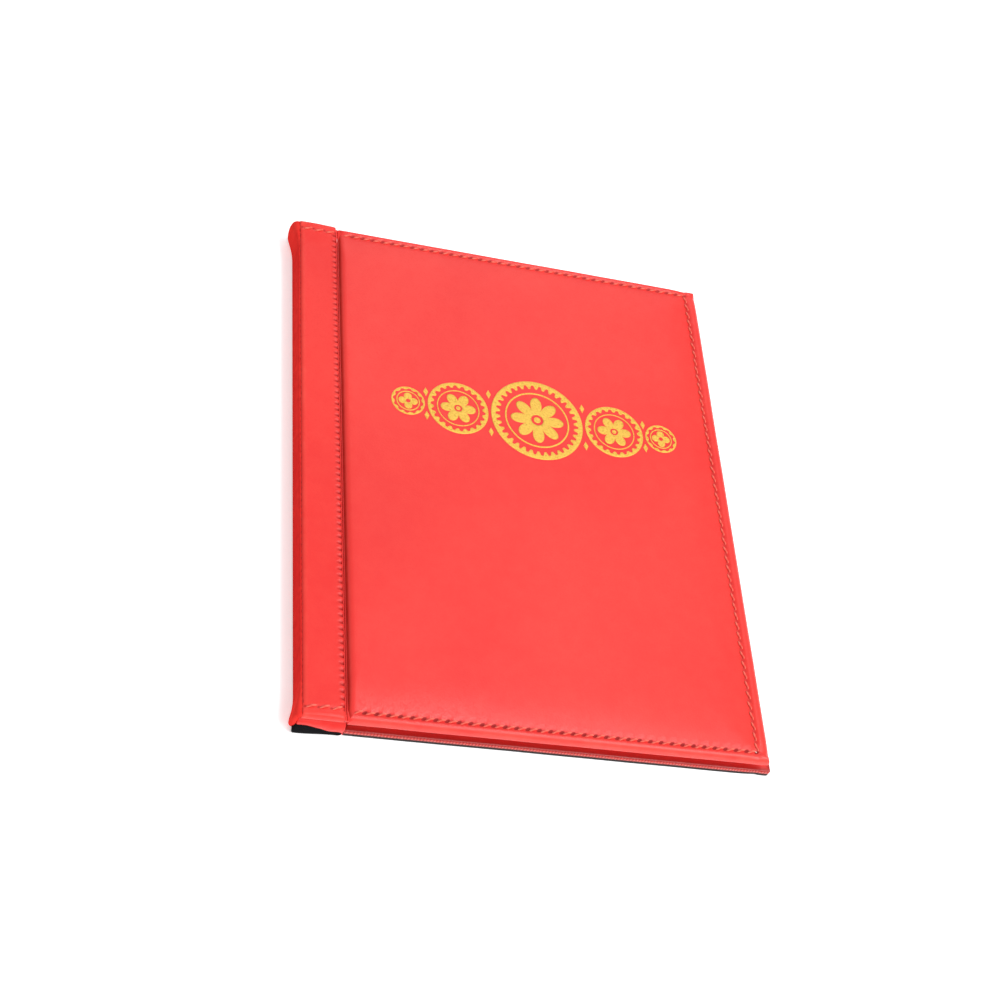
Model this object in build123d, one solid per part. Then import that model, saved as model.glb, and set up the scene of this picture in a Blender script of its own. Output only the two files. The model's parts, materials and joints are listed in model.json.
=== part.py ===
from build123d import *
import os

# Coin album: two padded covers hinged to a binding strip, with film leaves held by posts.
# It lies closed on its back cover. X runs from the spine to the fore edge, Y from the foot to the
# head and Z up. The origin is the middle of its footprint, on the table. Sizes are millimetres.

# Cover panels
cover_height = 200.0
cover_width = 139.6
cover_corner = 1.6
cover_rounding = 1.4
back_cover_lip = 3.5
skin = 0.8
padding = 0.9
board = 1.4
lining = 0.3

# Binding strip and spine
strip_width = 14.0
strip_board = 1.4
strip_lining = 0.3
board_inset = 2.5
front_strip_rise = 0.4
back_strip_lift = 0.3
spine_bulge = 1.2
spine_board = 1.2
spine_lining = 0.3
spine_rounding = 1.0

# Hinges, measured from the seam that both of them lie on
hinge_rise = 0.5
strip_gap = 0.45
cover_gap = 0.9
leaf_gap = 1.35
gusset = 0.3
gusset_sweep = 25.0

# Leaves
leaf_count = 10
leaf_pitch = 0.33
leaf_height = 190.0
leaf_width = 133.0
film = 0.14
leaf_clearance = 0.15
pocket_rows = 4
pocket_mouth = 2.0
film_border = 3.0

# Threads lie flush in their grooves
thread_depth = 0.15
thread_width = 0.5
stitch_inset = 3.2
ladder_width = 2.2
thread_spacing = 0.3

# Binding posts
post_count = 3
post_spacing = 70.0
barrel_radius = 2.0
screw_radius = 1.2
screw_reach = 4.0
head_radius = 3.5
head_thickness = 0.8
post_clearance = 0.1
screw_clearance = 0.05
post_slack = 0.4

# Gilt emblem: coin roundels in a row, largest in the middle
foil_depth = 0.1
emblem_from_foot = 125.5
roundel_radii = [17.0, 11.0, 6.0]
roundel_spacing = 1.0
rim_share = 0.22
core_share = 0.45

# Places worked out from the sizes
cover_thickness = skin + padding + board + lining
leaves_bottom = cover_thickness + leaf_clearance
leaves_top = leaves_bottom + leaf_count * leaf_pitch
front_inner = leaves_top + leaf_clearance
album_top = front_inner + cover_thickness
strip_top = album_top + front_strip_rise
strip_bottom = back_strip_lift
album_width = spine_bulge + strip_width + cover_gap + cover_width + back_cover_lip
spine_x = -album_width / 2
crease_x = spine_x + spine_bulge
seam_x = crease_x + strip_width
strip_edge_x = seam_x - strip_gap
cover_edge_x = seam_x + cover_gap
fore_x = cover_edge_x + cover_width
back_fore_x = fore_x + back_cover_lip
leaf_edge_x = seam_x + leaf_gap
half_height = cover_height / 2
half_leaf = leaf_height / 2
half_board = half_height - board_inset
front_axis_z = album_top + hinge_rise
back_axis_z = 0.0
back_board_z = strip_bottom + skin + gusset
back_strip_inner = back_board_z + strip_board + strip_lining
front_board_z = strip_top - skin - gusset
front_strip_inner = front_board_z - strip_board - strip_lining
spine_board_x = crease_x + skin - spine_bulge
strip_board_x = spine_board_x + spine_board
margin_x = strip_board_x + spine_lining
stitch_y = half_height - stitch_inset
ladder_x = strip_edge_x - thread_spacing - ladder_width
post_x = seam_x - strip_width / 2
post_ys = [(i - (post_count - 1) / 2) * post_spacing for i in range(post_count)]


def slab(x0, x1, y0, y1, z0, z1):
    """A box between two corners."""
    corner = (Align.MIN, Align.MIN, Align.MIN)
    return Pos(x0, y0, z0) * Box(x1 - x0, y1 - y0, z1 - z0, align=corner)


def bar(x0, x1, half_y, z0, z1):
    """A box that runs equally towards the foot and the head."""
    return slab(x0, x1, -half_y, half_y, z0, z1)


def drum(x, y, radius, z0, z1):
    """An upright cylinder between two heights."""
    base = (Align.CENTER, Align.CENTER, Align.MIN)
    return Pos(x, y, z0) * Cylinder(radius, z1 - z0, align=base)


def on_back(piece):
    """Turn a front cover piece over onto the back cover."""
    return Pos(0, 0, album_top) * piece.mirror(Plane.XY)


def drilled(piece, z0, z1):
    """Cut the clearance holes for the post barrels."""
    for y in post_ys:
        piece -= drum(post_x, y, barrel_radius + post_clearance, z0, z1)
    return piece


# The front cover. The back cover is the same turned over, and reaches past it by a lip at the fore edge.

def cover_stitching(outer_x):
    """One thread run along the foot, the fore edge and the head of a cover that ends at outer_x."""
    low = album_top - thread_depth
    run_x = outer_x - stitch_inset
    outer = bar(cover_edge_x + cover_rounding, run_x, stitch_y, low, album_top)
    inner = bar(cover_edge_x, run_x - thread_width, stitch_y - thread_width, low, album_top)
    return outer - inner


def emblem_places():
    """Each roundel's distance from the emblem's middle, and its radius."""
    places = [(0.0, roundel_radii[0])]
    reach = roundel_radii[0]
    for radius in roundel_radii[1:]:
        offset = reach + roundel_spacing + radius
        places += [(-offset, radius), (offset, radius)]
        reach = offset + radius
    return places


def emblem_foil():
    """A rim and a core of foil for each roundel, pressed into the skin."""
    x = cover_edge_x + cover_width / 2
    y = emblem_from_foot - half_height
    low = album_top - foil_depth
    pieces = []
    for offset, radius in emblem_places():
        rim = drum(x + offset, y, radius, low, album_top)
        rim -= drum(x + offset, y, radius * (1 - rim_share), low, album_top)
        core = drum(x + offset, y, radius * core_share, low, album_top)
        pieces += [rim.solid(), core.solid()]
    return Compound(children=pieces)


def cover_skin(outer_x):
    """The outer face and the four turned edges, open on the inside for the layers."""
    block = bar(cover_edge_x, outer_x, half_height, front_inner, album_top)
    block = fillet(block.edges().filter_by(Axis.Z), cover_corner)
    block = fillet(block.faces().sort_by(Axis.Z)[-1].edges(), cover_rounding)
    inside = bar(cover_edge_x + skin, outer_x - skin, half_height - skin, front_inner, album_top - skin)
    return block - inside - cover_stitching(outer_x)


def front_cover_skin():
    """The skin with the emblem's pressed recesses."""
    piece = cover_skin(fore_x)
    for foil in emblem_foil().solids():
        piece -= foil
    return piece


def cover_layer(outer_x, low, high):
    """A sheet that fills the skin's inside between two heights above the cover's inner face."""
    z0, z1 = front_inner + low, front_inner + high
    return bar(cover_edge_x + skin, outer_x - skin, half_height - skin, z0, z1)


def cover_lining(outer_x):
    return cover_layer(outer_x, 0, lining)


def cover_board(outer_x):
    return cover_layer(outer_x, lining, lining + board)


def cover_padding(outer_x):
    return cover_layer(outer_x, lining + board, lining + board + padding)


# The binding: skins, boards, gussets, linings and spacers from the outside in.

def strip_threads(low, high):
    """The grooves of a strip's four thread runs: ladder, crease, foot and head."""
    crease_start = crease_x + thread_spacing
    ladder = bar(ladder_x, ladder_x + ladder_width, stitch_y + thread_width, low, high)
    crease = bar(crease_start, crease_start + thread_width, stitch_y + thread_width, low, high)
    run_start = crease_start + 2 * thread_width
    run_end = ladder_x - thread_width
    head = slab(run_start, run_end, stitch_y - thread_width, stitch_y, low, high)
    foot = slab(run_start, run_end, -stitch_y, thread_width - stitch_y, low, high)
    return ladder, crease, head, foot


def front_threads():
    return strip_threads(strip_top - thread_depth, strip_top)


def back_threads():
    return strip_threads(strip_bottom, strip_bottom + thread_depth)


def front_strip_skin():
    piece = bar(crease_x, strip_edge_x, half_height, strip_top - skin, strip_top)
    for thread in front_threads():
        piece -= thread
    return piece


def back_strip_skin():
    piece = bar(crease_x, strip_edge_x, half_height, strip_bottom, strip_bottom + skin)
    for thread in back_threads():
        piece -= thread
    return piece


def spine_skin():
    """A channel that wraps the spine and meets both strip skins at the creases."""
    block = bar(spine_x, crease_x, half_height, strip_bottom, strip_top)
    block = fillet(block.faces().sort_by(Axis.X)[0].edges().filter_by(Axis.Y), spine_rounding)
    return block - bar(spine_x + skin, crease_x, half_height, strip_bottom + skin, strip_top - skin)


def spine_stiffener():
    return bar(spine_board_x, strip_board_x, half_board, strip_bottom + skin, strip_top - skin)


def spine_lining_sheet():
    return bar(strip_board_x, margin_x, half_board, back_strip_inner, front_strip_inner)


def hinge_gusset(axis_z, near_z, side):
    """A tab under the strip skin that runs into an arc about the hinge axis.

    side is -1 where the tab lies below the axis and 1 where it lies above it.
    """
    radius = abs(near_z - axis_z)
    outer = radius + gusset
    tab = bar(strip_board_x, seam_x, half_board, min(near_z, near_z + side * gusset),
              max(near_z, near_z + side * gusset))
    sweep = side * gusset_sweep
    start = side * 90
    centre = Pos(seam_x, 0, axis_z) * Rot(90, 0, 0)
    with BuildSketch() as section:
        with BuildLine():
            far_arc = CenterArc((0, 0), outer, start, -sweep)
            near_arc = CenterArc((0, 0), radius, start, -sweep)
            Line(far_arc @ 0, near_arc @ 0)
            Line(far_arc @ 1, near_arc @ 1)
        make_face()
    arc = extrude(centre * section.sketch, amount=half_board, both=True)
    return tab + arc


def front_hinge_gusset():
    return hinge_gusset(front_axis_z, strip_top - skin, -1)


def back_hinge_gusset():
    return hinge_gusset(back_axis_z, strip_bottom + skin, 1)


def front_strip_board():
    """The board with holes for the barrels and recesses for the screw heads."""
    low = front_board_z - strip_board
    piece = drilled(bar(strip_board_x, strip_edge_x, half_board, low, front_board_z), low, front_board_z)
    for y in post_ys:
        piece -= drum(post_x, y, head_radius + post_clearance, front_board_z - head_thickness, front_board_z)
    return piece


def back_strip_board():
    """The board with holes for the barrels and recesses for their heads."""
    high = back_board_z + strip_board
    piece = drilled(bar(strip_board_x, strip_edge_x, half_board, back_board_z, high), back_board_z, high)
    for y in post_ys:
        piece -= drum(post_x, y, head_radius + post_clearance, back_board_z, back_board_z + head_thickness)
    return piece


def drilled_bar(x0, half_y, z0, z1):
    """A sheet of the binding that the barrels pass through."""
    return drilled(bar(x0, strip_edge_x, half_y, z0, z1), z0, z1)


def front_strip_lining():
    return drilled_bar(strip_board_x, half_board, front_strip_inner, front_board_z - strip_board)


def back_strip_lining():
    return drilled_bar(strip_board_x, half_board, back_board_z + strip_board, back_strip_inner)


def front_spacer():
    return drilled_bar(margin_x, half_leaf, leaves_top, front_strip_inner)


def back_spacer():
    return drilled_bar(margin_x, half_leaf, back_strip_inner, leaves_bottom)


def leaf_margins():
    """The punched binding margin of every leaf, stacked face to face."""
    margins = []
    for i in range(leaf_count):
        z = leaves_bottom + i * leaf_pitch
        margins.append(drilled_bar(margin_x, half_leaf, z, z + leaf_pitch).solid())
    return Compound(children=margins)


def screw_head_z():
    return front_board_z - head_thickness


def post_barrels():
    """Headed sleeves that come up through the stack, bored for the screws."""
    barrel_top = screw_head_z() - post_slack
    bore_bottom = screw_head_z() - screw_reach - post_slack
    barrels = []
    for y in post_ys:
        barrel = drum(post_x, y, head_radius, back_board_z, back_board_z + head_thickness)
        barrel += drum(post_x, y, barrel_radius, back_board_z, barrel_top)
        barrel -= drum(post_x, y, screw_radius + screw_clearance, bore_bottom, barrel_top)
        barrels.append(barrel.solid())
    return Compound(children=barrels)


def post_screws():
    """Screws that close the barrels from the front strip board."""
    screws = []
    for y in post_ys:
        screw = drum(post_x, y, head_radius, screw_head_z(), front_board_z)
        screw += drum(post_x, y, screw_radius, screw_head_z() - screw_reach, front_board_z)
        screws.append(screw.solid())
    return Compound(children=screws)


# The leaves, numbered from the front.

def leaf_z(number):
    return leaves_top - number * leaf_pitch


def leaf_backing(number):
    z = leaf_z(number)
    return bar(leaf_edge_x, leaf_edge_x + leaf_width, half_leaf, z, z + film)


def leaf_pockets(number):
    """One film band per row of pockets, open along its head edge."""
    z = leaf_z(number) + film
    row = (leaf_height - film_border) / pocket_rows
    bands = []
    for i in range(pocket_rows):
        foot = -half_leaf + i * row
        head = foot + row - pocket_mouth
        x0, x1 = leaf_edge_x + film_border, leaf_edge_x + leaf_width
        bands.append(slab(x0, x1, foot, head, z, z + film).solid())
    return Compound(children=bands)


def pieces():
    """Every piece of the album by name."""
    front_ladder, front_crease, front_head, front_foot = front_threads()
    back_ladder, back_crease, back_head, back_foot = back_threads()
    named = {
        "front_cover_skin": front_cover_skin(),
        "front_cover_padding": cover_padding(fore_x),
        "front_cover_board": cover_board(fore_x),
        "front_cover_lining": cover_lining(fore_x),
        "front_cover_stitching": cover_stitching(fore_x),
        "front_emblem_foil": emblem_foil(),
        "back_cover_skin": on_back(cover_skin(back_fore_x)),
        "back_cover_padding": on_back(cover_padding(back_fore_x)),
        "back_cover_board": on_back(cover_board(back_fore_x)),
        "back_cover_lining": on_back(cover_lining(back_fore_x)),
        "back_cover_stitching": on_back(cover_stitching(back_fore_x)),
        "front_strip_skin": front_strip_skin(),
        "back_strip_skin": back_strip_skin(),
        "spine_skin": spine_skin(),
        "spine_stiffener": spine_stiffener(),
        "spine_lining": spine_lining_sheet(),
        "front_hinge_gusset": front_hinge_gusset(),
        "back_hinge_gusset": back_hinge_gusset(),
        "front_strip_board": front_strip_board(),
        "back_strip_board": back_strip_board(),
        "front_strip_lining": front_strip_lining(),
        "back_strip_lining": back_strip_lining(),
        "front_spacer": front_spacer(),
        "back_spacer": back_spacer(),
        "leaf_margins": leaf_margins(),
        "post_barrels": post_barrels(),
        "post_screws": post_screws(),
        "front_seam_thread": front_ladder,
        "back_seam_thread": back_ladder,
        "front_strip_stitching": Compound(children=[front_head.solid(), front_foot.solid()]),
        "back_strip_stitching": Compound(children=[back_head.solid(), back_foot.solid()]),
        "spine_edge_stitching": Compound(children=[front_crease.solid(), back_crease.solid()]),
    }
    for number in range(1, leaf_count + 1):
        named[f"leaf_{number:02d}_backing_film"] = leaf_backing(number)
        named[f"leaf_{number:02d}_pocket_film"] = leaf_pockets(number)
    return named


os.makedirs("parts", exist_ok=True)
for name, piece in pieces().items():
    export_step(piece, f"parts/{name}.step")
print("seam", seam_x, "front hinge axis height", front_axis_z, "width", album_width, "top", strip_top)
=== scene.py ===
import json
import math

import bpy
import numpy as np
from mathutils import Matrix, Vector

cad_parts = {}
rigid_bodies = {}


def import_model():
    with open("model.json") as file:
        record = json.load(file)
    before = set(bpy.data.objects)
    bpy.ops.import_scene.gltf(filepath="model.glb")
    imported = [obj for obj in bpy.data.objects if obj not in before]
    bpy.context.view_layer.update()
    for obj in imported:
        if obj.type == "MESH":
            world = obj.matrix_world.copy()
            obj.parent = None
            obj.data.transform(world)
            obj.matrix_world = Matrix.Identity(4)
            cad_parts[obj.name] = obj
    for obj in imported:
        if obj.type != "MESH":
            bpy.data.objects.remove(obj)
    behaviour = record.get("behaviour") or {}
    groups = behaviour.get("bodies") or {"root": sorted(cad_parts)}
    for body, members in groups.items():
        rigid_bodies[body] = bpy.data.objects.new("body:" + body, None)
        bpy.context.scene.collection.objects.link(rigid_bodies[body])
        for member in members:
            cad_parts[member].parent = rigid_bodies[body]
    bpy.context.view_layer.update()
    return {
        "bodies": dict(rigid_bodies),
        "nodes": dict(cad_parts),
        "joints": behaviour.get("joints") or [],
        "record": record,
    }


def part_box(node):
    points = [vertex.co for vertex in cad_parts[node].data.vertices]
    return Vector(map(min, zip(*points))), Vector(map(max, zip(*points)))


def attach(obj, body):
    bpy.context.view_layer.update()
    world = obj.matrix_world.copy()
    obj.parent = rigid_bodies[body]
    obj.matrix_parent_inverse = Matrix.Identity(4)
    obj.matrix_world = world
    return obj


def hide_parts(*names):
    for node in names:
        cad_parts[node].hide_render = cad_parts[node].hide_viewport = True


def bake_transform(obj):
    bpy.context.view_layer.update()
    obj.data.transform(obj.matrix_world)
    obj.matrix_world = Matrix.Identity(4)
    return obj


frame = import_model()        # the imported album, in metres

mm = 0.001
tau = 2 * math.pi
nodes = frame["nodes"]
scene = bpy.context.scene


def boxOf(node):
    low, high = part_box(node)
    return np.array(low), np.array(high)


# where the album's lines run, all read from the frame, in metres
hinges = {j["name"]: j for j in frame["joints"]}
seamX, _, seamZ = hinges["front_cover_hinge"]["pos_m"]
frontLow, frontHigh = boxOf("front_cover_skin")
backLow, backHigh = boxOf("back_cover_skin")
stripLow, stripHigh = boxOf("front_strip_skin")
spineLow, spineHigh = boxOf("spine_skin")

# and the three that the binding is drawn from, in mm
halfHeight = frontHigh[1] / mm
creaseX = stripLow[0] / mm
stripEdgeX = stripHigh[0] / mm
leafCount = sum(b.startswith("leaf_") for b in frame["bodies"])


# A mesh from whole arrays: vertices, four-cornered faces, a few many-cornered caps, and marks per vertex.
def makeMesh(name, verts, quads, caps=(), marks=None, smooth=True):
    quads = np.asarray(quads, np.int32).reshape(-1, 4)
    used = np.unique(np.concatenate([quads.ravel(), *[np.asarray(c) for c in caps]]))
    renumber = np.zeros(len(verts), np.int32)
    renumber[used] = np.arange(len(used), dtype=np.int32)
    verts = np.asarray(verts, np.float64)[used]
    loops = [renumber[quads].ravel()] + [renumber[np.asarray(c)] for c in caps]
    sizes = np.concatenate([np.full(len(quads), 4), [len(c) for c in caps]]).astype(np.int32)
    loopAll = np.concatenate(loops).astype(np.int32)
    mesh = bpy.data.meshes.new(name)
    mesh.vertices.add(len(verts))
    mesh.vertices.foreach_set("co", verts.astype(np.float32).ravel())
    mesh.loops.add(len(loopAll))
    mesh.loops.foreach_set("vertex_index", loopAll)
    mesh.polygons.add(len(sizes))
    mesh.polygons.foreach_set("loop_start", np.concatenate([[0], np.cumsum(sizes)[:-1]]).astype(np.int32))
    mesh.polygons.foreach_set("use_smooth", np.full(len(sizes), smooth))
    mesh.update(calc_edges=True)
    for mark, values in (marks or {}).items():
        layer = mesh.attributes.new(mark, "FLOAT", "POINT")
        layer.data.foreach_set("value", np.asarray(values, np.float32).ravel()[used])
    piece = bpy.data.objects.new(name, mesh)
    scene.collection.objects.link(piece)
    return piece


# Faces of a grid of rows by cols points numbered row by row, facing rows cross columns.
def gridQuads(rows, cols, wrapCols=False, start=0):
    r = np.arange(rows - 1)[:, None]
    c = np.arange(cols if wrapCols else cols - 1)[None, :]
    n = (c + 1) % cols
    r, c, n = np.broadcast_arrays(r, c, n)
    quads = np.stack([r * cols + c, (r + 1) * cols + c, (r + 1) * cols + n, r * cols + n], -1)
    return quads.reshape(-1, 4) + start


# A sheet: each side stands half the thickness off the middle surface along its normal, and both share
# the rim. mid is rows by cols by 3, wrap closes the rows into a ring, thick is nothing at the rims.
def thickSheet(name, mid, thick, wrap=False, marks=None, upright=False):
    rows, cols = mid.shape[:2]
    if wrap:
        alongRows = np.roll(mid, -1, 0) - np.roll(mid, 1, 0)
    else:
        alongRows = np.gradient(mid, axis=0)
    normal = np.cross(alongRows, np.gradient(mid, axis=1))
    normal /= np.maximum(np.linalg.norm(normal, axis=-1, keepdims=True), 1e-12)
    if upright:      # deep relief would cross over itself along its normals
        normal = np.array([0.0, 0.0, 1.0]) + 0 * normal
    offset = normal * (thick[..., None] / 2)
    verts = np.concatenate([(mid + offset).reshape(-1, 3), (mid - offset).reshape(-1, 3)])
    upper = np.arange(rows * cols).reshape(rows, cols)
    lower = upper + rows * cols
    lower[:, 0], lower[:, -1] = upper[:, 0], upper[:, -1]
    if not wrap:
        lower[0], lower[-1] = upper[0], upper[-1]
    faces = []
    for table, flip in ((upper, False), (lower, True)):
        if wrap:
            table = np.concatenate([table, table[:1]])
        quads = table.ravel()[gridQuads(*table.shape)]
        faces.append(quads[:, ::-1] if flip else quads)
    both = {k: np.concatenate([v.ravel(), v.ravel()]) for k, v in (marks or {}).items()}
    return makeMesh(name, verts, np.concatenate(faces), marks=both)


def joined(name, parts):
    with bpy.context.temp_override(active_object=parts[0], selected_editable_objects=parts):
        bpy.ops.object.join()
    parts[0].name = parts[0].data.name = name
    return parts[0]


# Stations from 0 to length, evenly spaced inside and crowded within edge of both ends.
def rimmed(length, step, edge, farEdge=None):
    farEdge = farEdge or edge
    crowd = np.array([0, 0.06, 0.2, 0.42, 0.7])
    inside = np.linspace(edge, length - farEdge, max(2, int(round((length - edge - farEdge) / step)) + 1))
    return np.concatenate([edge * crowd, inside, (length - farEdge * crowd)[::-1]])


# How full a rounded rim is: a quarter ellipse that rises from 0 at each end to 1 at edge.
def rimFade(station, length, edge, farEdge=None):
    near = np.clip(np.minimum(station / edge, (length - station) / (farEdge or edge)), 0, 1)
    return np.sqrt(1 - (1 - near) ** 2)


def smoothStep(a, b, x):
    t = np.clip((x - a) / (b - a), 0, 1)
    return t * t * (3 - 2 * t)


# Gentle unevenness: eight plane waves of about the given size, with seeded directions and phases.
def softWaves(x, y, size, seed):
    rng = np.random.default_rng(seed)
    total = 0
    for angle, phase, stretch in rng.uniform([0, 0, 0.6], [tau, tau, 1.7], (8, 3)):
        k = tau / (size * stretch)
        total = total + np.sin(k * (x * math.cos(angle) + y * math.sin(angle)) + phase)
    return total / 4


# the shader groups that several finishes share

def newGroup(name, inputs, outputs):
    group = bpy.data.node_groups.new(name, "ShaderNodeTree")
    for label, kind, default in inputs:
        socket = group.interface.new_socket(label, in_out="INPUT", socket_type=kind)
        if default is not None:
            socket.default_value = default
    for label, kind in outputs:
        group.interface.new_socket(label, in_out="OUTPUT", socket_type=kind)
    return group, Wiring(group)


# Short hands for adding and joining nodes in one tree.
class Wiring:
    def __init__(self, tree):
        self.tree = tree
        self.column = 0

    def node(self, kind, links=None, **values):
        made = self.tree.nodes.new(kind)
        made.location = (self.column, 0)
        self.column += 180
        for key, value in values.items():
            setattr(made, key, value)
        for key, value in (links or {}).items():
            socket = made.inputs[key]
            if isinstance(value, bpy.types.NodeSocket):
                self.tree.links.new(value, socket)
            else:
                socket.default_value = value
        return made

    def math(self, operation, a, b=0.0, c=None, clamp=False):
        links = {0: a, 1: b} if c is None else {0: a, 1: b, 2: c}
        return self.node("ShaderNodeMath", links, operation=operation, use_clamp=clamp).outputs[0]

    def mix(self, share, a, b, mode="MIX"):
        made = self.node("ShaderNodeMix", data_type="RGBA", blend_type=mode)
        for index, value in ((0, share), (6, a), (7, b)):
            if isinstance(value, bpy.types.NodeSocket):
                self.tree.links.new(value, made.inputs[index])
            else:
                made.inputs[index].default_value = value
        return made.outputs[2]

    def mark(self, name):
        return self.node("ShaderNodeAttribute", attribute_name=name).outputs["Fac"]

    def place(self):
        return self.node("ShaderNodeTexCoord").outputs["Object"]

    def noise(self, scale, detail=3.0, rough=0.5, where=None):
        links = {"Vector": where or self.place(), "Scale": scale, "Detail": detail, "Roughness": rough}
        return self.node("ShaderNodeTexNoise", links).outputs["Fac"]


# Leather grain: rounded cells from a smooth Voronoi, roughened by fine noise, with pores between them.
def buildGrainGroup():
    group, w = newGroup("leatherGrain", [("Cell size", "NodeSocketFloat", 0.5)],
                        [("Height", "NodeSocketFloat"), ("Pores", "NodeSocketFloat")])
    size = w.node("NodeGroupInput").outputs["Cell size"]
    scale = w.math("DIVIDE", 1000.0, size)
    warp = w.node("ShaderNodeTexNoise", {"Vector": w.place(), "Scale": 420.0, "Detail": 2.0})
    bent = w.node("ShaderNodeVectorMath", {0: warp.outputs["Color"], 1: (0.0005, 0.0005, 0.0005)},
                  operation="MULTIPLY").outputs[0]
    where = w.node("ShaderNodeVectorMath", {0: bent, 1: w.place()}, operation="ADD").outputs[0]
    cells = w.node("ShaderNodeTexVoronoi", {"Vector": where, "Scale": scale, "Smoothness": 0.6},
                   feature="SMOOTH_F1").outputs["Distance"]
    fine = w.noise(w.math("MULTIPLY", scale, 1.9), 4.0, 0.6)
    height = w.math("SUBTRACT", w.math("MULTIPLY", fine, 0.5), w.math("MULTIPLY", cells, 0.8))
    pores = w.math("MULTIPLY_ADD", cells, 3.2, -1.5, clamp=True)
    w.node("NodeGroupOutput", {"Height": height, "Pores": pores})
    return group


# Needle holes: slanted slots one pitch apart along the mark run, where the mark across is 0, which the
# leatherette paints dark red as painted shade inside each hole. Pucker is the dimple round each, darkened
# there as painted shade too.
def buildNeedleGroup():
    group, w = newGroup("needleHoles",
                        [("Pitch", "NodeSocketFloat", 3.8), ("Width", "NodeSocketFloat", 0.5)],
                        [("Holes", "NodeSocketFloat"), ("Pucker", "NodeSocketFloat")])
    given = w.node("NodeGroupInput")
    run, across, sewn = w.mark("run"), w.mark("across"), w.mark("sewn")
    turn = w.math("FRACT", w.math("ADD", w.math("DIVIDE", run, given.outputs["Pitch"]), 0.5))
    along = w.math("MULTIPLY", w.math("SUBTRACT", turn, 0.5), given.outputs["Pitch"])
    lengthwise = w.math("MULTIPLY_ADD", along, 0.85, w.math("MULTIPLY", across, 0.53))
    sideways = w.math("MULTIPLY_ADD", across, 0.85, w.math("MULTIPLY", along, -0.53))
    far = w.math("SQRT", w.math("ADD", w.math("POWER", w.math("MULTIPLY", lengthwise, 0.55), 2.0),
                                w.math("POWER", sideways, 2.0)))
    dot = w.math("SUBTRACT", 1.0, w.math("DIVIDE", far, given.outputs["Width"]), clamp=True)
    paintedShade = w.math("MULTIPLY", w.math("MULTIPLY", dot, 2.2, clamp=True), sewn)
    reach = w.math("MULTIPLY", given.outputs["Width"], 2.6)
    wide = w.math("SUBTRACT", 1.0, w.math("DIVIDE", far, reach), clamp=True)
    w.node("NodeGroupOutput", {"Holes": paintedShade, "Pucker": w.math("MULTIPLY", wide, sewn)})
    return group


# A plain weave: two crossed rows of rounded threads that pass over each other in turn.
def buildWeaveGroup():
    group, w = newGroup("clothWeave", [("Threads per mm", "NodeSocketFloat", 2.2)],
                        [("Height", "NodeSocketFloat"), ("Gaps", "NodeSocketFloat")])
    density = w.math("MULTIPLY", w.node("NodeGroupInput").outputs["Threads per mm"], 1000 * math.pi)
    part = w.node("ShaderNodeSeparateXYZ", {"Vector": w.place()})
    a = w.math("SINE", w.math("MULTIPLY", part.outputs["X"], density))
    b = w.math("SINE", w.math("MULTIPLY", part.outputs["Y"], density))
    over = w.math("MULTIPLY", a, b)
    ridge = w.math("ADD", w.math("ABSOLUTE", a), w.math("ABSOLUTE", b))
    height = w.math("MULTIPLY_ADD", over, 0.35, w.math("MULTIPLY", ridge, 0.4))
    gaps = w.math("SUBTRACT", 0.55, ridge, clamp=True)
    w.node("NodeGroupOutput", {"Height": height, "Gaps": gaps})
    return group


# Edge wear and painted highlight: a mark broken up by patchy noise. On the covers it is wear along the
# rounded edge; on the strip it is a painted highlight beside the crease and paler ends, and on the spine
# its ends are painted lighter.
def buildWearAndHighlightGroup():
    group, w = newGroup("edgeWearAndHighlight", [("Amount", "NodeSocketFloat", 0.5)], [("WornAndHighlight", "NodeSocketFloat")])
    amount = w.node("NodeGroupInput").outputs["Amount"]
    patchy = w.math("MULTIPLY_ADD", w.noise(160.0, 5.0, 0.65), 1.6, -0.35, clamp=True)
    wornAndHighlight = w.math("MULTIPLY", w.math("MULTIPLY", w.mark("wearAndHighlight"), patchy), amount)
    w.node("NodeGroupOutput", {"WornAndHighlight": wornAndHighlight})
    return group


grainGroup = buildGrainGroup()
needleGroup = buildNeedleGroup()
weaveGroup = buildWeaveGroup()
wearAndHighlightGroup = buildWearAndHighlightGroup()


# A material with its Principled shader, whose constants are set on the shader's own sockets.
def newFinish(name, **sockets):
    material = bpy.data.materials.new(name)
    material.use_nodes = True
    shader = material.node_tree.nodes["Principled BSDF"]
    for key, value in sockets.items():
        shader.inputs[key].default_value = value
    return material, shader, Wiring(material.node_tree)


def wire(w, shader, **sockets):
    for key, value in sockets.items():
        w.tree.links.new(value, shader.inputs[key.replace("_", " ")])


def bumpFrom(w, height, strength, distance, under=None):
    links = {"Height": height, "Strength": strength, "Distance": distance}
    if under is not None:
        links["Normal"] = under
    return w.node("ShaderNodeBump", links).outputs["Normal"]


leather = {
    "red": (0.82, 0.040, 0.031, 1),
    "deep": (0.72, 0.022, 0.020, 1),
    "pale": (0.93, 0.125, 0.085, 1),
    # painted shade: the dark red laid into needle holes, ladder notches, crimp valleys and the gap between
    # the covers
    "paintedShade": (0.29, 0.005, 0.004, 1),
    # painted shade for the spine's side
    "shade": (0.34, 0.008, 0.010, 1),
    # painted shadow: black for the back cover's lower edge, standing in for the contact shadow under the
    # album
    "paintedShadow": (0.010, 0.007, 0.007, 1),
    "roughness": 0.33,
    "cell": 0.55,
    "grain": 0.00005,
    "ridge": 1.05,         # pitch of the crimped edge, mm
    "stitch": 3.8,         # pitch of the needle holes, mm
    "holeWidth": 0.7,
}
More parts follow.
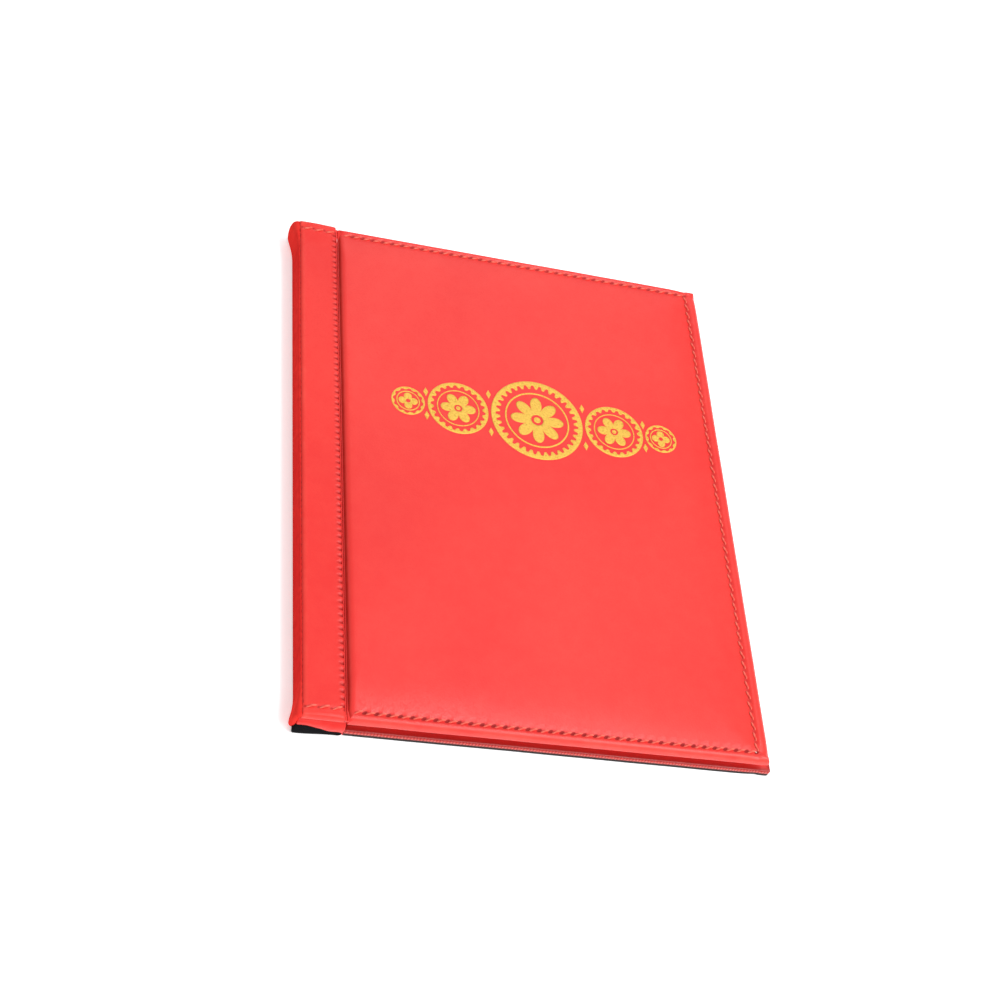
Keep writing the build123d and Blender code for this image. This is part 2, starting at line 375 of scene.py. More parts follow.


# Leatherette in layers: drifting reds, mottle, pores, and wear with painted highlight; then, by their
# marks, painted shade on the spine's side, in puckers, recesses and needle holes, painted highlight and
# shade on crimps, and a painted shadow at the lower edge.
def leatheretteFinish(name, wearAndHighlightAmount, shine, tone=0.0):
    material, shader, w = newFinish(name, **{"Specular IOR Level": shine})
    grain = w.node("ShaderNodeGroup", {"Cell size": leather["cell"]}, node_tree=grainGroup)
    needle = w.node("ShaderNodeGroup", {"Pitch": leather["stitch"], "Width": leather["holeWidth"]},
                    node_tree=needleGroup)
    wornAndHighlight = w.node("ShaderNodeGroup", {"Amount": wearAndHighlightAmount}, node_tree=wearAndHighlightGroup).outputs["WornAndHighlight"]
    drift = w.math("MULTIPLY_ADD", w.noise(14.0, 3.0, 0.55), 2.0, -0.5, clamp=True)
    colour = w.mix(drift, leather["deep"], leather["red"])
    mottle = w.math("MULTIPLY_ADD", w.noise(230.0, 3.0, 0.6), 0.9, -0.32, clamp=True)
    colour = w.mix(w.math("MULTIPLY", mottle, 0.22), colour, leather["pale"])
    colour = w.mix(w.math("MULTIPLY", grain.outputs["Pores"], 0.25), colour, leather["deep"])
    # Wear, and painted highlight on the strip and the spine's ends.
    colour = w.mix(wornAndHighlight, colour, leather["pale"])
    # Painted shade: with tone set, patches of colour are pulled towards the shade red, darkening the
    # spine's side as if it faced away from the light, less so where its ends are painted lighter.
    if tone:
        patches = w.math("MULTIPLY_ADD", w.noise(330.0, 3.0, 0.65), 1.5, -0.15, clamp=True)
        plain = w.math("SUBTRACT", 1.0, w.mark("wearAndHighlight"), clamp=True)
        paintedSideShade = w.math("MULTIPLY", w.math("MULTIPLY", patches, tone), plain)
        colour = w.mix(paintedSideShade, colour, leather["shade"])
    # Painted shade: the pucker round each needle hole darkened towards the deep red.
    colour = w.mix(w.math("MULTIPLY", needle.outputs["Pucker"], 0.30), colour, leather["deep"])
    # Painted shade: dark red where the mark for shaded recesses is set: the ladder's notches, the crease,
    # the strip's edge at the groove and the gap between the covers.
    colour = w.mix(w.mark("shadedRecess"), colour, leather["paintedShade"])
    # Painted shade: the needle holes filled with the dark red.
    colour = w.mix(needle.outputs["Holes"], colour, leather["paintedShade"])
    wave = w.math("SINE", w.math("MULTIPLY", w.mark("run"), tau / leather["ridge"]))
    ridge = w.math("MULTIPLY", w.math("MULTIPLY_ADD", wave, 0.5, 0.5), w.mark("crimp"))
    valley = w.math("SUBTRACT", w.mark("crimp"), ridge, clamp=True)
    # Painted highlight on the crimps' crests and painted shade in their valleys, over the bump of their
    # relief.
    colour = w.mix(w.math("MULTIPLY", ridge, 0.55), colour, leather["pale"])
    colour = w.mix(w.math("MULTIPLY", valley, 0.75), colour, leather["paintedShade"])
    # Painted shadow: black along the back cover's lower edge.
    colour = w.mix(w.mark("paintedShadow"), colour, leather["paintedShadow"])
    rough = w.math("MULTIPLY_ADD", w.noise(40.0, 4.0, 0.6), 0.16, leather["roughness"] - 0.08)
    rough = w.math("MULTIPLY_ADD", grain.outputs["Pores"], 0.12, rough)
    rough = w.math("MULTIPLY_ADD", wornAndHighlight, -0.08, rough)
    rough = w.math("MULTIPLY_ADD", needle.outputs["Holes"], 0.4, rough)
    rough = w.math("MULTIPLY_ADD", w.mark("paintedShadow"), 0.5, rough)
    slack = bumpFrom(w, w.noise(55.0, 2.0, 0.4), 0.35, 0.0004)
    fine = bumpFrom(w, grain.outputs["Height"], 0.55, leather["grain"], slack)
    pressed = bumpFrom(w, w.math("SUBTRACT", 1.0, needle.outputs["Pucker"]), 0.6, 0.00035, fine)
    crimped = bumpFrom(w, ridge, 0.8, 0.0005, pressed)
    wire(w, shader, Base_Color=colour, Roughness=rough, Normal=crimped)
    return material


# Twisted thread: slanted ply lines that follow the marks along and around.
def threadFinish(name, light, dark, sheen):
    material, shader, w = newFinish(name, **{"Specular IOR Level": 0.3, "Sheen Weight": sheen})
    turns = w.math("ADD", w.math("MULTIPLY", w.mark("along"), 26.0), w.mark("around"))
    ply = w.math("MULTIPLY_ADD", w.math("SINE", turns), 0.5, 0.5)
    fuzz = w.noise(2600.0, 3.0, 0.7)
    wire(w, shader, Base_Color=w.mix(w.math("MULTIPLY", ply, fuzz), dark, light),
         Roughness=w.math("MULTIPLY_ADD", fuzz, 0.2, 0.5), Normal=bumpFrom(w, ply, 0.6, 0.00012))
    return material


foil = {
    "dark": (0.68, 0.35, 0.03, 1),
    "light": (0.93, 0.62, 0.105, 1),
    "broad": (0.86, 0.54, 0.08, 1),
    "rubbed": (0.50, 0.34, 0.04, 1),
}


# Gilt foil: a fine mottle of light and dark gold under broad tones, rubbed thin in specks.
def foilFinish():
    material, shader, w = newFinish("giltFoil", **{"Specular IOR Level": 0.6})
    patch = w.math("MULTIPLY_ADD", w.noise(1300.0, 4.0, 0.7), 2.8, -0.9, clamp=True)
    broad = w.noise(60.0, 2.0, 0.5)
    colour = w.mix(patch, foil["dark"], foil["light"])
    colour = w.mix(w.math("MULTIPLY_ADD", broad, 0.8, -0.3, clamp=True), colour, foil["broad"])
    rubbed = w.math("MULTIPLY_ADD", w.noise(1500.0, 4.0, 0.75), 6.0, -3.9, clamp=True)
    wire(w, shader, Base_Color=w.mix(w.math("MULTIPLY", rubbed, 0.6), colour, foil["rubbed"]),
         Metallic=w.math("MULTIPLY_ADD", patch, 0.2, 0.35),
         Roughness=w.math("MULTIPLY_ADD", patch, 0.22, 0.26), Normal=bumpFrom(w, patch, 0.7, 0.0001))
    return material


cloth = {
    "dark": (0.005, 0.005, 0.006, 1),
    "light": (0.011, 0.011, 0.012, 1),
    "gap": (0.004, 0.004, 0.004, 1),
    "threads": 2.0,        # threads per mm
}


def clothFinish():
    material, shader, w = newFinish("blackLining", **{"Sheen Weight": 0.0, "Specular IOR Level": 0.02})
    weave = w.node("ShaderNodeGroup", {"Threads per mm": cloth["threads"]}, node_tree=weaveGroup)
    tone = w.mix(w.noise(90.0, 3.0), cloth["dark"], cloth["light"])
    wire(w, shader, Base_Color=w.mix(weave.outputs["Gaps"], tone, cloth["gap"]),
         Roughness=w.math("MULTIPLY_ADD", w.noise(400.0), 0.2, 0.66),
         Normal=bumpFrom(w, weave.outputs["Height"], 0.7, 0.00012))
    return material


def boardFinish(name, dark, light):
    material, shader, w = newFinish(name, **{"Specular IOR Level": 0.25})
    fibre = w.noise(900.0, 6.0, 0.75)
    wire(w, shader, Base_Color=w.mix(fibre, dark, light),
         Roughness=w.math("MULTIPLY_ADD", fibre, 0.15, 0.78), Normal=bumpFrom(w, fibre, 0.4, 0.00015))
    return material


def foamFinish():
    material, shader, w = newFinish("foamPadding", **{"Specular IOR Level": 0.2})
    cells = w.node("ShaderNodeTexVoronoi", {"Vector": w.place(), "Scale": 1600.0}).outputs["Distance"]
    wire(w, shader, Base_Color=w.mix(cells, (0.72, 0.68, 0.58, 1), (0.90, 0.88, 0.80, 1)),
         Roughness=w.math("MULTIPLY_ADD", cells, 0.1, 0.8), Normal=bumpFrom(w, cells, 0.6, 0.0003))
    return material


def steelFinish():
    material, shader, w = newFinish("postSteel", **{"Metallic": 1.0})
    streak = w.noise(500.0, 4.0, 0.6)
    wire(w, shader, Base_Color=w.mix(streak, (0.48, 0.48, 0.49, 1), (0.70, 0.70, 0.71, 1)),
         Roughness=w.math("MULTIPLY_ADD", streak, 0.2, 0.22), Normal=bumpFrom(w, streak, 0.2, 0.00005))
    return material


film = {
    "columns": 3,
    "rows": 4,
    "weld": 1.1,       # width of a weld line, mm
    "clear": 0.16,     # alpha of clear film and of a weld
    "cloudy": 0.55,
    "knurl": 0.9,      # pitch of the ribs pressed into a weld, mm
}


# Clear film: ripples, a milky bloom, and frosted lines where it is welded into pockets.
def filmFinish(name, welded):
    material, shader, w = newFinish(name, **{"Specular IOR Level": 0.5, "Coat Weight": 0.0, "IOR": 1.52})
    ripple = w.noise(22.0, 2.0, 0.4)
    haze = w.math("MULTIPLY_ADD", w.noise(130.0, 4.0, 0.6), 0.12, -0.03, clamp=True)
    frost = w.mark("weld") if welded else w.math("MULTIPLY", haze, 0.5)
    colour = w.mix(frost, (0.78, 0.82, 0.86, 1), (0.93, 0.94, 0.95, 1))
    milky = w.math("MULTIPLY_ADD", frost, film["cloudy"] - film["clear"], film["clear"])
    alpha = w.math("ADD", milky, haze)
    fine = bumpFrom(w, ripple, 0.5, 0.0009)
    lengthwise = w.node("ShaderNodeSeparateXYZ", {"Vector": w.place()}).outputs["Y"]
    knurl = w.math("SINE", w.math("MULTIPLY", lengthwise, tau * 1000 / film["knurl"]))
    wire(w, shader, Base_Color=colour, Alpha=alpha, Roughness=w.math("MULTIPLY_ADD", frost, 0.35, 0.09),
         Normal=bumpFrom(w, w.math("MULTIPLY", knurl, frost), 0.4, 0.00008, fine))
    return material


finishes = {
    "red_leatherette": leatheretteFinish("redLeatherette", 0.5, 0.40),
    "red_thread": threadFinish("redThread", (0.95, 0.23, 0.165, 1), (0.72, 0.08, 0.055, 1), 0.08),
    "gold_foil": foilFinish(),
    "black_lining": clothFinish(),
    "binder_board": boardFinish("binderBoard", (0.018, 0.017, 0.016, 1), (0.05, 0.048, 0.045, 1)),
    "foam_padding": foamFinish(),
    "post_steel": steelFinish(),
    "clear_film": filmFinish("clearFilm", False),
}
stripFinish = leatheretteFinish("stripLeatherette", 0.35, 0.28)
# The spine's side gets painted shade through tone; its ends are painted lighter.
spineFinish = leatheretteFinish("spineLeatherette", 0.2, 0.0, tone=0.45)
weldedFinish = filmFinish("weldedFilm", True)
seamThreadFinish = threadFinish("seamThread", (0.66, 0.030, 0.022, 1), (0.48, 0.014, 0.011, 1), 0.0)

slotOf = {s["node"]: s["material_slot"] for s in frame["record"]["subparts"]}
for name, node in nodes.items():
    node.data.materials.clear()
    node.data.materials.append(finishes[slotOf[name]])
print("finishes ready")


# Gives a piece its finish, its body and the cad nodes that it stands for.
def settle(piece, body, slot, *cadNodes, finish=None):
    piece.data.materials.append(finish or finishes[slot])
    if body:
        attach(piece, body)
    if cadNodes:
        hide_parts(*cadNodes)
    return piece


# camera and studio

view = {
    "place": (-0.19501, -0.36581, 0.49019),
    "forward": (0.2969, 0.5675, -0.7680),
    "up": (-0.1305, 0.8208, 0.5561),
    "lens": 66.76,
}


def makeCamera():
    data = bpy.data.cameras.new("camera")
    data.lens = view["lens"]
    data.sensor_width = 36.0
    data.clip_start, data.clip_end = 0.01, 20.0
    camera = bpy.data.objects.new("camera", data)
    scene.collection.objects.link(camera)
    back = -Vector(view["forward"]).normalized()
    right = Vector(view["up"]).cross(back).normalized()
    up = back.cross(right)
    turned = Matrix((right, up, back)).transposed().to_4x4()
    camera.matrix_world = Matrix.Translation(view["place"]) @ turned
    scene.camera = camera


studio = {
    "sky": 0.50,
    "key": {"place": (0.75, -0.55, 1.15), "size": (1.2, 1.0), "power": 11.0},
    "top": {"place": (0.32, 0.02, 1.05), "size": (0.7, 0.14), "power": 3.2},
    "front": {"place": (0.36, -0.70, 0.92), "size": (1.2, 0.12), "power": 4.2},
    "fill": {"place": (0.2, 1.1, 0.9), "size": (0.9, 0.6), "power": 2.0},
    "floor": (0.93, 0.93, 0.935, 1),
    "floorGlow": 0.40,
    "floorHalf": 3.0,
}


def makeStudio():
    scene.view_settings.view_transform = "Standard"
    scene.world = bpy.data.worlds.new("studio")
    scene.world.use_nodes = True
    sky = scene.world.node_tree.nodes["Background"]
    sky.inputs["Color"].default_value = (1, 1, 1, 1)
    sky.inputs["Strength"].default_value = studio["sky"]
    for name in ("key", "top", "front", "fill"):
        given = studio[name]
        lamp = bpy.data.lights.new(name, "AREA")
        lamp.shape = "RECTANGLE"
        lamp.size, lamp.size_y = given["size"]
        lamp.energy = given["power"]
        lampObject = bpy.data.objects.new(name, lamp)
        lampObject.location = given["place"]
        lampObject.rotation_euler = (-Vector(given["place"])).to_track_quat("-Z", "Y").to_euler()
        scene.collection.objects.link(lampObject)
    half = studio["floorHalf"]
    corners = [(-half, -half, 0), (half, -half, 0), (half, half, 0), (-half, half, 0)]
    floor = makeMesh("floor", corners, [[0, 1, 2, 3]])
    pale = {"Base Color": studio["floor"], "Roughness": 0.9, "Emission Color": (1, 1, 1, 1),
            "Emission Strength": studio["floorGlow"]}
    floor.data.materials.append(newFinish("paleFloor", **pale)[0])


makeCamera()
makeStudio()
print("camera and studio ready")


# covers: concentric rounded rectangles that rise over the edge to a crowned panel

cover = {
    "corner": 0.6,         # plan radius of the corners
    "round": {"front": 2.3, "back": 0.45},      # how far in the rounded edge reaches
    "low": {"front": 0.0, "back": 0.84},       # share of the height where that rounding starts
    # slack beyond the cad box at the hinge, foot, fore edge and head
    "grow": {"front": (0.2, 0.0, 1.1, 1.0), "back": (0.0, 0.1, 0.3, 0.2)},
    "heel": {"front": 0.5, "back": 0.6},       # rounding at the inner face
    "bead": 0.42,          # drop of the bead outside the stitching
    "valley": 0.95,        # drop along the stitching
    "line": 3.2,           # stitching's distance from the edge at head and foot
    "foreLine": 4.8,       # and at the fore edge
    "firstHole": 1.2,      # where it starts, from the hinge
    "spread": 5.2,         # how far the crown takes to rise
    "hingeDrop": 0.42,
    "rise": 0.25,          # crown above the cad panel
    "slack": ((0.05, 46.0), (0.02, 13.0)),      # height and size of its two kinds of waves
    "turnIn": 13.0,
    "pitch": leather["stitch"],
    "step": 0.5625,        # stations along the edge
}


# A cover's box with the slack of its leather added.
def grown(low, high, side):
    hinge, foot, fore, head = (g * mm for g in cover["grow"][side])
    return low - np.array([hinge, foot, 0]), high + np.array([fore, head, 0])


frontLow, frontHigh = grown(frontLow, frontHigh, "front")
backLow, backHigh = grown(backLow, backHigh, "back")
seeds = {"front": 5, "back": 21}


# Rounded rectangles at each inset, anticlockwise from the middle of the hinge side. A point is its
# corner's centre times (a) plus the radius times (c), so every ring has the same stations.
def rectangleRings(low, high, corner, insets, step):
    size = (high - low)[:2] / mm
    centre = ((high + low) / 2)[:2] / mm
    nx, ny, nc = (max(4, int(round(size[0] / step))), max(4, int(round(size[1] / step))), 5)
    spans = []
    tx, ty = np.linspace(-1, 1, nx, endpoint=False)[1:], np.linspace(-1, 1, ny, endpoint=False)[1:]
    for quarter, (sx, sy) in enumerate(((-1, -1), (1, -1), (1, 1), (-1, 1))):
        angle = np.radians(180 + 90 * quarter + np.linspace(0, 90, nc))
        spans.append(np.stack([np.full(nc, sx), np.full(nc, sy), np.cos(angle), np.sin(angle)], 1))
        side = {0: (tx, -1, 0, -1), 1: (1, ty, 1, 0), 2: (-tx, 1, 0, 1), 3: (-1, -ty, -1, 0)}[quarter]
        count = len(tx) if quarter % 2 == 0 else len(ty)
        spans.append(np.stack([np.broadcast_to(v, count) for v in side], 1))
    stations = np.concatenate(spans)
    stations = np.roll(stations, len(ty) // 2, axis=0)
    insets = np.asarray(insets, float)[:, None]
    radius = np.maximum(corner - insets, 0.04)
    x = stations[:, 0] * (size[0] / 2 - insets - radius) + stations[:, 2] * radius + centre[0]
    y = stations[:, 1] * (size[1] / 2 - insets - radius) + stations[:, 3] * radius + centre[1]
    return x, y


# How far the panel lies below its crown: a bead at the edge, a valley at the stitching, a slow rise.
def panelDrop(x, y, low, high):
    bead, valley, line = cover["bead"], cover["valley"], cover["line"]
    total = (cover["hingeDrop"] * np.exp(-(np.maximum(x - low[0] / mm, 0) / 1.5) ** 1.4)) ** 4
    for sewn in (y - low[1] / mm, high[1] / mm - y, high[0] / mm - x - cover["foreLine"] + line):
        ramp = bead + (valley - bead) * (1 - np.cos(np.pi * np.clip((sewn - 1.5) / (line - 1.5), 0, 1))) / 2
        crown = valley * np.exp(-(np.maximum(sewn - line, 0) / cover["spread"]) ** 1.25)
        total = total + np.where(sewn < line, ramp, crown) ** 4
    return total ** 0.25


# The slack of soft leatherette: two sums of waves, broad and small.
def slackWaves(x, y, seed):
    broad, small = cover["slack"]
    return broad[0] * softWaves(x, y, broad[1], seed) + small[0] * softWaves(x, y, small[1], seed + 1)


# Height of the front panel's surface in mm.
def panelHeight(x, y):
    top = frontHigh[2] / mm + cover["rise"]
    return top - panelDrop(x, y, frontLow, frontHigh) + slackWaves(x, y, seeds["front"])


# The stitching's rectangle in mm: where it starts at the hinge, its fore line, and its foot and head.
def stitchBox(low, high):
    line = cover["line"]
    x0, x1 = low[0] / mm + cover["firstHole"], high[0] / mm - cover["foreLine"]
    return x0, x1, low[1] / mm + line, high[1] / mm - line


def nearFore(x, y, low, high):
    return high[0] / mm - x < np.minimum(y - low[1] / mm, high[1] / mm - y)


# Distance sewn from the foot's hinge end: along x at the foot, along y at the fore edge, back along x
# at the head, each scaled to a whole number of stitches.
def runAlong(x, y, low, high):
    x0, x1, y0, y1 = stitchBox(low, high)
    pitch = cover["pitch"]
    across, upward = int(round((x1 - x0) / pitch)), int(round((y1 - y0) / pitch))
    alongFoot = (x - x0) / (x1 - x0) * across
    alongFore = across + (y - y0) / (y1 - y0) * upward
    alongHead = across + upward + (x1 - x) / (x1 - x0) * across
    return np.where(nearFore(x, y, low, high), alongFore, np.where(y < 0, alongFoot, alongHead)) * pitch


# A padded cover. The profile runs from the inner face's turned edge round the heel, side and top
# rounding, then inwards over the panel. Height is the inner face plus a share of the panel's height
# above it.
def coverShell(name, low, high, outward, seed, crimped):
    a = np.linspace(0, 1, 7)[1:] * np.pi / 2
    heel, reach, start = (cover[k]["front" if outward > 0 else "back"] for k in ("heel", "round", "low"))
    depth = (high[2] - low[2]) / mm
    lift = heel / depth
    start = max(lift, start)
    side = np.linspace(lift, start, 9)[1:-1] if start > lift else np.zeros(0)
    flat = np.array([cover["turnIn"], 9.0, 5.0, 2.5])
    turn = np.linspace(0, 1, 5) * np.pi / 2
    half = (high[0] - low[0]) / mm / 2
    inward = np.concatenate([np.arange(reach + 0.35, 5.2, 0.38), np.geomspace(5.6, half - 1, 26)])
    insets = np.concatenate([flat, heel * (1 - np.sin(turn)), 0 * side, reach * (1 - np.cos(a)), inward])
    shares = np.concatenate([np.zeros(4), lift * (1 - np.cos(turn)), side,
                             start + (1 - start) * np.sin(a) ** 0.95, np.ones(len(inward))])
    x, y = rectangleRings(low, high, cover["corner"], insets, cover["step"])
    run = runAlong(x, y, low, high)
    fromLine = np.where(nearFore(x, y, low, high), cover["foreLine"], cover["line"])
    inset = np.broadcast_to(insets[:, None], x.shape)
    share = np.broadcast_to(shares[:, None], x.shape)
    hinge = x - low[0] / mm
    sewn = (share == 1) * (hinge > inset + 0.15)
    # the rounding is tighter beside the hinge
    x = low[0] / mm + hinge * (0.3 + 0.7 * smoothStep(0, 3.2, hinge))
    onHinge = smoothStep(1.6, 0.5, x - low[0] / mm)
    top = depth + cover["rise"] - panelDrop(x, y, low, high) + slackWaves(x, y, seed)
    beat = 0.5 + 0.5 * np.cos(tau * run / cover["pitch"])
    pull = np.exp(-((inset - fromLine) / 0.8) ** 2) * sewn
    top = top - pull * (0.05 + 0.13 * beat ** 2)
    z = share * top
    onSide = np.exp(-((share - 0.30) / 0.16) ** 2) * (inset < 1.5)
    # the edge line wavers a little, away from the corners
    wobble = 0.04 * softWaves(run, 0 * run, 31.0, seed + 2)
    wobble = wobble * np.clip(1 - inset / 3, 0, 1) * (share > 0) * (1 - onHinge)
    fromMiddle = x - (low[0] + high[0]) / 2 / mm
    toHead = high[1] / mm - np.abs(y)
    pushX = smoothStep(3.0, 1.0, half - np.abs(fromMiddle)) * smoothStep(1.5, 4.0, toHead)
    x = x + np.sign(fromMiddle) * wobble * pushX
    toFore = half - np.abs(x - (low[0] + high[0]) / 2 / mm)
    y = y + np.sign(y) * wobble * smoothStep(3.0, 1.0, toHead) * smoothStep(1.5, 4.0, toFore)
    z = low[2] / mm + z if outward > 0 else high[2] / mm - z
    verts = np.stack([x, y, z], -1).reshape(-1, 3) * mm
    rings, count = x.shape
    quads = gridQuads(rings, count, wrapCols=True)[:, ::-1]
    under, crown = np.arange(count)[::-1], np.arange(count) + (rings - 1) * count
    if outward < 0:
        quads, under, crown = quads[:, ::-1], under[::-1], crown[::-1]
    # Wear along the cover's rounded edge.
    wearAndHighlight = np.exp(-((inset - 0.5) / 0.7) ** 2) * (share > 0.3)
    # Painted shadow: a black band round the lower part of the back cover's edge, standing in for the
    # contact shadow under the album.
    paintedShadow = smoothStep(0.46, 0.52, share) * smoothStep(2.2, 1.6, inset) * crimped
    # Painted shade: the top of the back cover's side, in the gap under the front cover, is marked to be
    # painted dark red.
    dark = smoothStep(0.20, 0.10, share) * (inset < heel + 0.1) * crimped * 0.9
    # Painted shade of the needle holes, set fainter at the fore edge and at the head than at the foot.
    strength = 1 - 0.6 * (high[0] / mm - x < inset + 0.2) - 0.3 * (high[1] / mm - y < inset + 0.2)
    marks = {"run": run, "across": inset - fromLine, "wearAndHighlight": wearAndHighlight, "sewn": sewn * strength,
             "crimp": onSide * crimped, "paintedShadow": paintedShadow, "shadedRecess": dark}
    return makeMesh(name, verts, quads, [under, crown], marks)


frontCover = coverShell("frontCoverSkin", frontLow, frontHigh, 1, seeds["front"], False)
backCover = coverShell("backCoverSkin", backLow, backHigh, -1, seeds["back"], True)
settle(frontCover, "front_cover", "red_leatherette", "front_cover_skin")
settle(backCover, "back_cover", "red_leatherette", "back_cover_skin")
print("covers ready")


# Foam under a cover's skin: a thick sheet that is full in the middle and pinched at its rim.
def paddingSheet(name, body, node, outward):
    low, high = boxOf(node)
    lengthX, lengthY = (high - low)[:2] / mm - 2.4
    u, v = rimmed(lengthX, 6.0, 3.0), rimmed(lengthY, 6.0, 3.0)
    thick = rimFade(u, lengthX, 3.0)[:, None] * rimFade(v, lengthY, 3.0)[None, :] * (high - low)[2] * 0.9
    mid = np.zeros((len(u), len(v), 3))
    mid[..., 0] = low[0] + (u[:, None] + 1.2) * mm
    mid[..., 1] = low[1] + (v[None, :] + 1.2) * mm
    mid[..., 2] = (low + high)[2] / 2 - outward * 0.05 * mm
    pad = settle(thickSheet(name, mid, thick), body, "foam_padding", node)


paddingSheet("frontCoverPadding", "front_cover", "front_cover_padding", 1)
paddingSheet("backCoverPadding", "back_cover", "back_cover_padding", -1)

lining = {"inset": 4.2, "proud": 0.05, "thick": 0.28, "rim": 0.4}


# Black cloth glued inside a cover: a thin plate with rounded rims, just proud of the turned edges.
def liningSheet(name, body, node, facing):
    low, high = boxOf(node)
    face = low[2] if facing < 0 else high[2]
    gap = lining["inset"] * mm
    lengthX, lengthY = ((high - low)[:2] - 2 * gap) / mm
    rim = lining["rim"]
    u, v = rimmed(lengthX, 3.0, rim), rimmed(lengthY, 3.0, rim)
    thick = rimFade(u, lengthX, rim)[:, None] * rimFade(v, lengthY, rim)[None, :] * lining["thick"] * mm
    mid = np.zeros((len(u), len(v), 3))
    mid[..., 0] = low[0] + gap + u[:, None] * mm
    mid[..., 1] = low[1] + gap + v[None, :] * mm
    ripple = 0.015 * softWaves(mid[..., 0] / mm, mid[..., 1] / mm, 25.0, 31)
    mid[..., 2] = face + facing * (lining["proud"] - lining["thick"] / 2 + ripple) * mm
    cloth = settle(thickSheet(name, mid, thick), body, "black_lining", node)


liningSheet("frontCoverLining", "front_cover", "front_cover_lining", -1)
liningSheet("backCoverLining", "back_cover", "back_cover_lining", 1)
print("padding and linings ready")


# binding strip and spine

strip = {
    "thick": 2.4,          # leather, board and the turned edge together
    "spineThick": 0.8,
    "creaseDip": 0.42,
    "grooveFall": 0.30,
    # how deep the ladder's notches dip into the strip, mm
    "shadedRecess": 0.60,
    "ladderPitch": 2.45,
    "flare": 13.0,         # how far from head and foot the ends swell
    "lift": 0.75,
    "slim": 0.6,
    "bulge": {"foot": 1.9, "head": 2.2},        # of the spine at its ends
    "square": 3.4,         # the spine's section: 2 is an ellipse, more is squarer
    "poke": 0.45,
    "ladder": 2.2,
    "line": 3.2,
    "hollow": 1.2,         # how far the spine's ends are cut back below
}


# 0 along the middle, rising smoothly to 1 at the head and the foot.
def endSwell(y):
    return smoothStep(halfHeight - strip["flare"], halfHeight + 0.3, np.abs(y)) ** 1.6


# 1 in the slots that the ladder stitches pull into the strip's edge, one every pitch, 0 between them.
def ladderNotch(x, y):
    beat = (0.5 + 0.5 * np.cos(tau * y / strip["ladderPitch"])) ** 2
    fromEdge = stripEdgeX - x
    reach = smoothStep(strip["ladder"] + 0.4, 0.4, fromEdge)
    return beat * reach * (np.abs(y) < halfHeight - 3.6)


# Top of the front strip in mm: pulled down at the crease and into the groove, puckered by the ladder
# stitches, and arched up at both ends.
def stripHeight(x, y):
    fromCrease, fromEdge = x - creaseX, stripEdgeX - x
    base = stripHigh[2] / mm + 0.05 * softWaves(x, y, 30.0, 41)
    base = base - strip["creaseDip"] * np.exp(-(fromCrease / 0.9) ** 2) * (1 - endSwell(y))
    base = base - strip["grooveFall"] * np.exp(-(np.maximum(fromEdge, 0) / 0.62) ** 1.6)
    swollen = 0.10 * smoothStep(strip["ladder"] + 1.0, 0.8, fromEdge)
    base = base - strip["shadedRecess"] * ladderNotch(x, y) + swollen
    sewn = halfHeight - strip["line"] - np.abs(y)
    base = base - 0.22 * np.exp(-(sewn / 0.8) ** 2)
    share = fromCrease / (fromCrease + np.maximum(fromEdge, 0))
    arch = np.sin(np.pi * np.clip(0.22 + 0.72 * share, 0, 1)) ** 0.8
    return base + strip["lift"] * endSwell(y) * arch


# One of the two strips: the same relief, face up in front and face down behind.
def stripSkin(name, node, facing, halfLength):
    low, high = boxOf(node)
    width = (high - low)[0] / mm
    full = strip["thick"] if facing > 0 else strip["spineThick"]
    u = rimmed(width, 0.35, 0.3, 0.5)
    v = rimmed(2 * halfLength, strip["ladderPitch"] / 8, full / 2) - halfLength
    x, y = np.meshgrid(low[0] / mm + u, v, indexing="ij")
    fade = rimFade(u, width, 0.3, 0.5)[:, None] * rimFade(v + halfLength, 2 * halfLength, full / 2)[None, :]
    relief = stripHeight(x, y) - stripHigh[2] / mm
    if facing > 0:
        z = high[2] / mm - full / 2 + fade * relief / 2
    else:
        relief = np.clip(relief, -0.5, 0)
        z = low[2] / mm + full / 2 - fade * relief / 2
    poke = np.sign(y) * strip["poke"] * endSwell(y) * (facing > 0)
    mid = np.stack([x, y + poke, z], -1) * mm
    # Painted shade at the strip's stitch holes, along the crease and at its edge by the groove, added to
    # the ladder's notches; painted highlight beside the crease and towards the ends.
    holeShade = (np.abs(y) > 50) * np.exp(-((np.abs(y) - halfHeight + strip["line"]) / 0.35) ** 2)
    holeShade = holeShade * (0.5 + 0.5 * np.cos(tau * (x - creaseX - 0.9) / 4.05)) ** 12
    shadow = 0.6 * np.exp(-((x - creaseX - 0.1) / 0.6) ** 2) * (1 - endSwell(y))
    shadow = shadow + 0.8 * smoothStep(0.5, 0.1, stripEdgeX - x)
    marks = {"shadedRecess": ladderNotch(x, y) + holeShade + shadow,
             "wearAndHighlight": np.exp(-((x - creaseX - 1.1) / 0.7) ** 2) + endSwell(y) ** 4}
    sheet = thickSheet(name, mid, fade * (full + relief) * mm, marks=marks, upright=True)
    return settle(sheet, "binding", "red_leatherette", node, finish=stripFinish)


stripSkin("frontStripSkin", "front_strip_skin", 1, halfHeight)
stripSkin("backStripSkin", "back_strip_skin", -1, halfHeight - 2.5)


